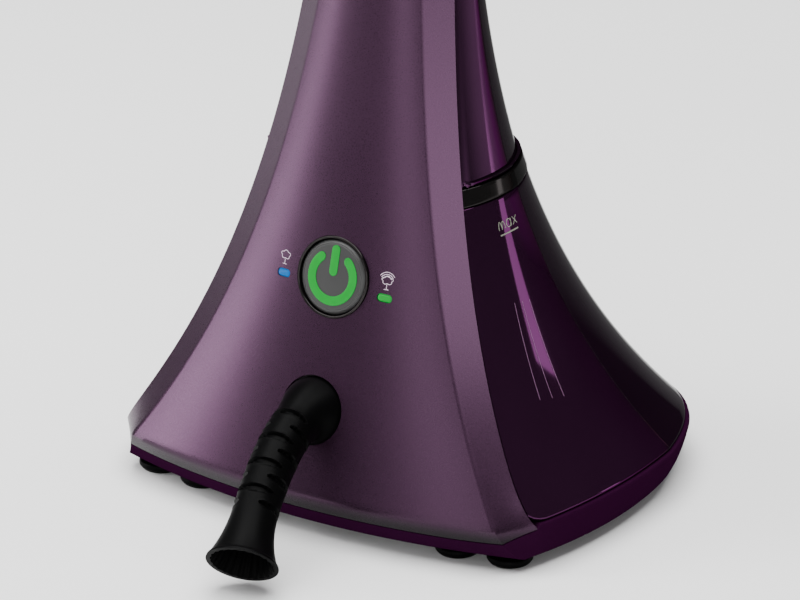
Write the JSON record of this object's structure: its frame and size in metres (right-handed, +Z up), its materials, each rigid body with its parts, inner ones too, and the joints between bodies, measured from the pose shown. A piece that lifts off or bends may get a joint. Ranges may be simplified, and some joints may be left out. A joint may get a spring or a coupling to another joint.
{
  "type": "garment steamer",
  "caption": "Upright garment steamer: flared plum body, wrap-round water tank, push button, empty hose boot and a telescopic pole with folding hanger arms.",
  "frame": {"origin": "on the floor plane, under the middle of the bounding box", "axes": "+Z up along the pole, -Y the front with the button and the hose boot, +X to the viewer's right, seen from the front"},
  "size_m": [0.3356, 0.3948, 0.614],
  "materials": {
    "plum_satin": "satin metallic plum lacquer",
    "plum_gloss": "high gloss plum",
    "tank_tint": "translucent dark plum plastic, gloss",
    "black_gloss": "gloss black",
    "black_matt": "matt black moulding",
    "rubber": "matt black rubber",
    "green_light": "lit green light guide",
    "blue_light": "lit blue light guide",
    "steel": "bright steel",
    "aluminium": "satin anodised aluminium",
    "cast": "cast aluminium",
    "grey_plastic": "grey moulding",
    "board": "green circuit board",
    "silicone": "pale silicone rubber"
  },
  "bodies": {
    "base": {"base_tray": "plum_satin", "base_plate": "black_matt", "foot_front_left": "rubber", "foot_front_right": "rubber", "foot_inner_left": "rubber", "foot_inner_right": "rubber", "foot_rear_left": "rubber", "foot_rear_right": "rubber", "screw_1": "steel", "screw_2": "steel", "screw_3": "steel", "screw_4": "steel", "mains_gland": "rubber", "front_shell": "plum_satin", "rear_cover": "plum_gloss", "neck_collar": "black_gloss", "chassis": "grey_plastic", "inlet_seat": "silicone", "button_ring": "black_gloss", "button_board": "board", "button_switch": "black_matt", "button_spring": "steel", "led_left": "blue_light", "led_right": "green_light", "hose_boot": "rubber", "boot_socket": "black_matt", "pole_tube": "aluminium", "pole_clamp_1": "black_matt", "lever_pin_1": "steel", "boiler": "cast", "thermostat": "steel", "boiler_terminal_left": "steel", "boiler_terminal_right": "steel", "thermal_fuse": "silicone", "pump_motor": "steel", "pump_head": "black_matt", "inlet_tube": "silicone", "feed_tube": "silicone", "steam_tube": "silicone", "control_board": "board", "latch_spring": "steel"},
    "tank": {"tank": "tank_tint", "tank_lid": "black_gloss", "tank_valve": "black_matt"},
    "stage_2": {"pole_stage_2": "aluminium", "pole_clamp_2": "black_matt", "lever_pin_2": "steel"},
    "stage_3": {"pole_stage_3": "aluminium", "hanger_head": "black_matt", "head_hook": "black_matt", "arm_pin_left": "steel", "arm_pin_right": "steel"},
    "lever_1": {"clamp_lever_1": "black_gloss"},
    "lever_2": {"clamp_lever_2": "black_gloss"},
    "arm_left": {"hanger_arm_left": "black_gloss"},
    "arm_right": {"hanger_arm_right": "black_gloss"},
    "power_button": {"power_button": "black_matt", "power_icon_arc": "green_light", "power_icon_bar": "green_light"},
    "tank_latch": {"tank_latch": "black_gloss"}
  },
  "joints": [
    {"name": "tank_pull", "type": "slide", "parent": "base", "child": "tank", "axis": [0, 1, 0], "range_m": [0, 0.26]},
    {"name": "stage_2_slide", "type": "slide", "parent": "base", "child": "stage_2", "axis": [0, 0, 1], "range_m": [0, 0.4]},
    {"name": "stage_3_slide", "type": "slide", "parent": "stage_2", "child": "stage_3", "axis": [0, 0, 1], "range_m": [0, 0.4]},
    {"name": "lever_1_flip", "type": "hinge", "parent": "base", "child": "lever_1", "pos_m": [0, 0.0554, 0.498], "axis": [1, 0, 0], "range_deg": [0, 110]},
    {"name": "lever_2_flip", "type": "hinge", "parent": "stage_2", "child": "lever_2", "pos_m": [0, 0.0529, 0.539], "axis": [1, 0, 0], "range_deg": [0, 110]},
    {"name": "arm_left_fold", "type": "hinge", "parent": "stage_3", "child": "arm_left", "pos_m": [-0.028, 0.028, 0.602], "axis": [0, 1, 0], "range_deg": [0, 90]},
    {"name": "arm_right_fold", "type": "hinge", "parent": "stage_3", "child": "arm_right", "pos_m": [0.028, 0.028, 0.602], "axis": [0, -1, 0], "range_deg": [0, 90]},
    {"name": "power_press", "type": "slide", "parent": "base", "child": "power_button", "axis": [0, 0.9645, -0.264], "range_m": [0, 0.0015], "stiffness_N_per_m": 500, "springref_m": -0.002},
    {"name": "latch_press", "type": "slide", "parent": "base", "child": "tank_latch", "axis": [0, -1, 0], "range_m": [0, 0.003], "stiffness_N_per_m": 400, "springref_m": -0.003}
  ]
}
